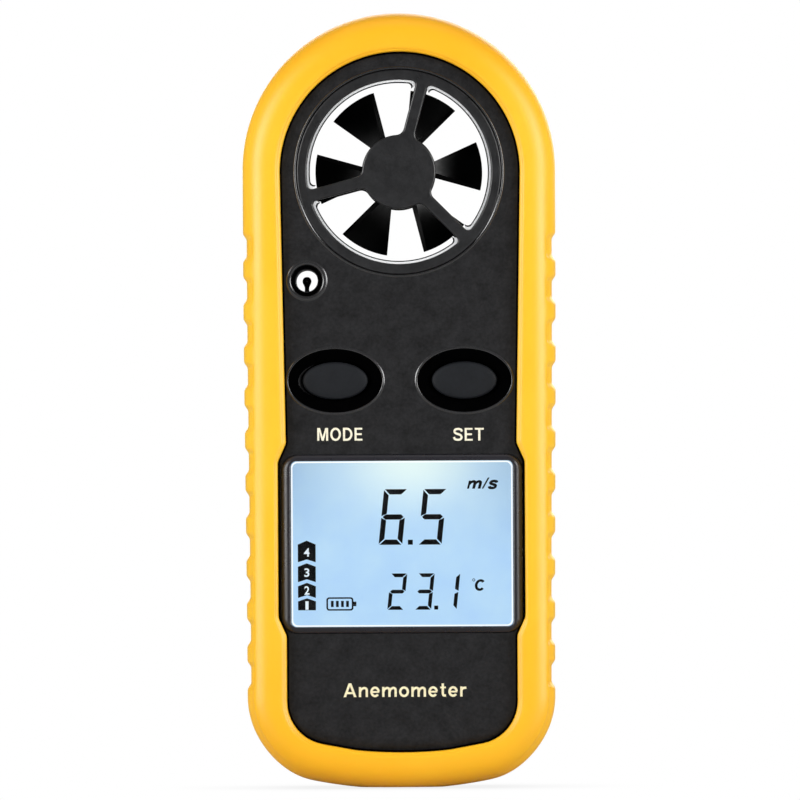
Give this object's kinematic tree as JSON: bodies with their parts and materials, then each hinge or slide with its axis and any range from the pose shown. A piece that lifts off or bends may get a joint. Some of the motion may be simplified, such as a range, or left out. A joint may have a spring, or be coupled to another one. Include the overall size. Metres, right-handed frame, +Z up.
{
  "type": "handheld weather meter",
  "caption": "Pocket vane anemometer and thermometer: bladed fan in a round guard, lit display, keys and a sliding battery door, in a soft yellow boot with notched grips.",
  "frame": {"origin": "centre of the foot of the boot, on the surface that the meter stands on", "axes": "+X to the reader's right, +Y out of the back of the meter, +Z up along its length; the display and the fan's front guard face -Y"},
  "size_m": [0.0456, 0.021, 0.1129],
  "materials": {
    "boot_rubber": "satin soft-touch elastomer",
    "case_plastic": "fine-textured ABS",
    "guard_plastic": "fine-textured ABS",
    "impeller_plastic": "satin",
    "bezel_plastic": "satin",
    "key_rubber": "matte silicone",
    "window_acrylic": "polished clear acrylic",
    "lcd_glass": "polished, lit from behind",
    "light_guide": "frosted acrylic",
    "led_white": "phosphor white",
    "contact_elastomer": "layered silicone",
    "holder_plastic": "moulded",
    "board_laminate": "solder-masked glass epoxy",
    "chip_epoxy": "moulded epoxy",
    "can_steel": "drawn can",
    "ceramic": "fired ceramic",
    "switch_plastic": "moulded",
    "lead_insulation": "flexible sleeve",
    "sensor_epoxy": "dipped bead",
    "bearing_brass": "turned",
    "shaft_steel": "ground",
    "magnet_ferrite": "sintered",
    "cell_steel": "nickel-plated can",
    "contact_plating": "nickel-plated spring strip",
    "screw_steel": "blackened"
  },
  "bodies": {
    "case": {"protective_boot": "boot_rubber", "front_case": "case_plastic", "rear_case": "case_plastic", "fan_guard_front": "guard_plastic", "fan_guard_rear": "guard_plastic", "fan_duct": "guard_plastic", "bearing_front": "bearing_brass", "bearing_rear": "bearing_brass", "hall_sensor": "chip_epoxy", "hall_leads": "lead_insulation", "thermistor": "sensor_epoxy", "lcd_bezel": "bezel_plastic", "lcd_window": "window_acrylic", "lcd_glass": "lcd_glass", "backlight": "light_guide", "backlight_led": "led_white", "zebra_strips": "contact_elastomer", "lcd_holder": "holder_plastic", "main_board": "board_laminate", "controller_chip": "chip_epoxy", "crystal": "can_steel", "capacitors": "ceramic", "switch_housings": "switch_plastic", "coin_cell": "cell_steel", "battery_contact_plus": "contact_plating", "battery_contact_minus": "contact_plating", "case_screws": "screw_steel", "board_screws": "screw_steel"},
    "impeller": {"impeller": "impeller_plastic", "impeller_shaft": "shaft_steel", "impeller_magnet": "magnet_ferrite"},
    "mode_button": {"mode_button": "key_rubber", "mode_switch_stem": "switch_plastic"},
    "set_button": {"set_button": "key_rubber", "set_switch_stem": "switch_plastic"},
    "battery_door": {"battery_door": "case_plastic"}
  },
  "joints": [
    {"name": "impeller_spin", "type": "hinge", "parent": "case", "child": "impeller", "pos_m": [0, 0, 0.0897], "axis": [0, -1, 0], "continuous": true},
    {"name": "mode_press", "type": "slide", "parent": "case", "child": "mode_button", "axis": [0, 1, 0], "range_m": [0, 0.0006], "stiffness_N_per_m": 800},
    {"name": "set_press", "type": "slide", "parent": "case", "child": "set_button", "axis": [0, 1, 0], "range_m": [0, 0.0006], "stiffness_N_per_m": 800},
    {"name": "battery_door_slide", "type": "slide", "parent": "case", "child": "battery_door", "axis": [0, 0, -1], "range_m": [0, 0.003]}
  ]
}
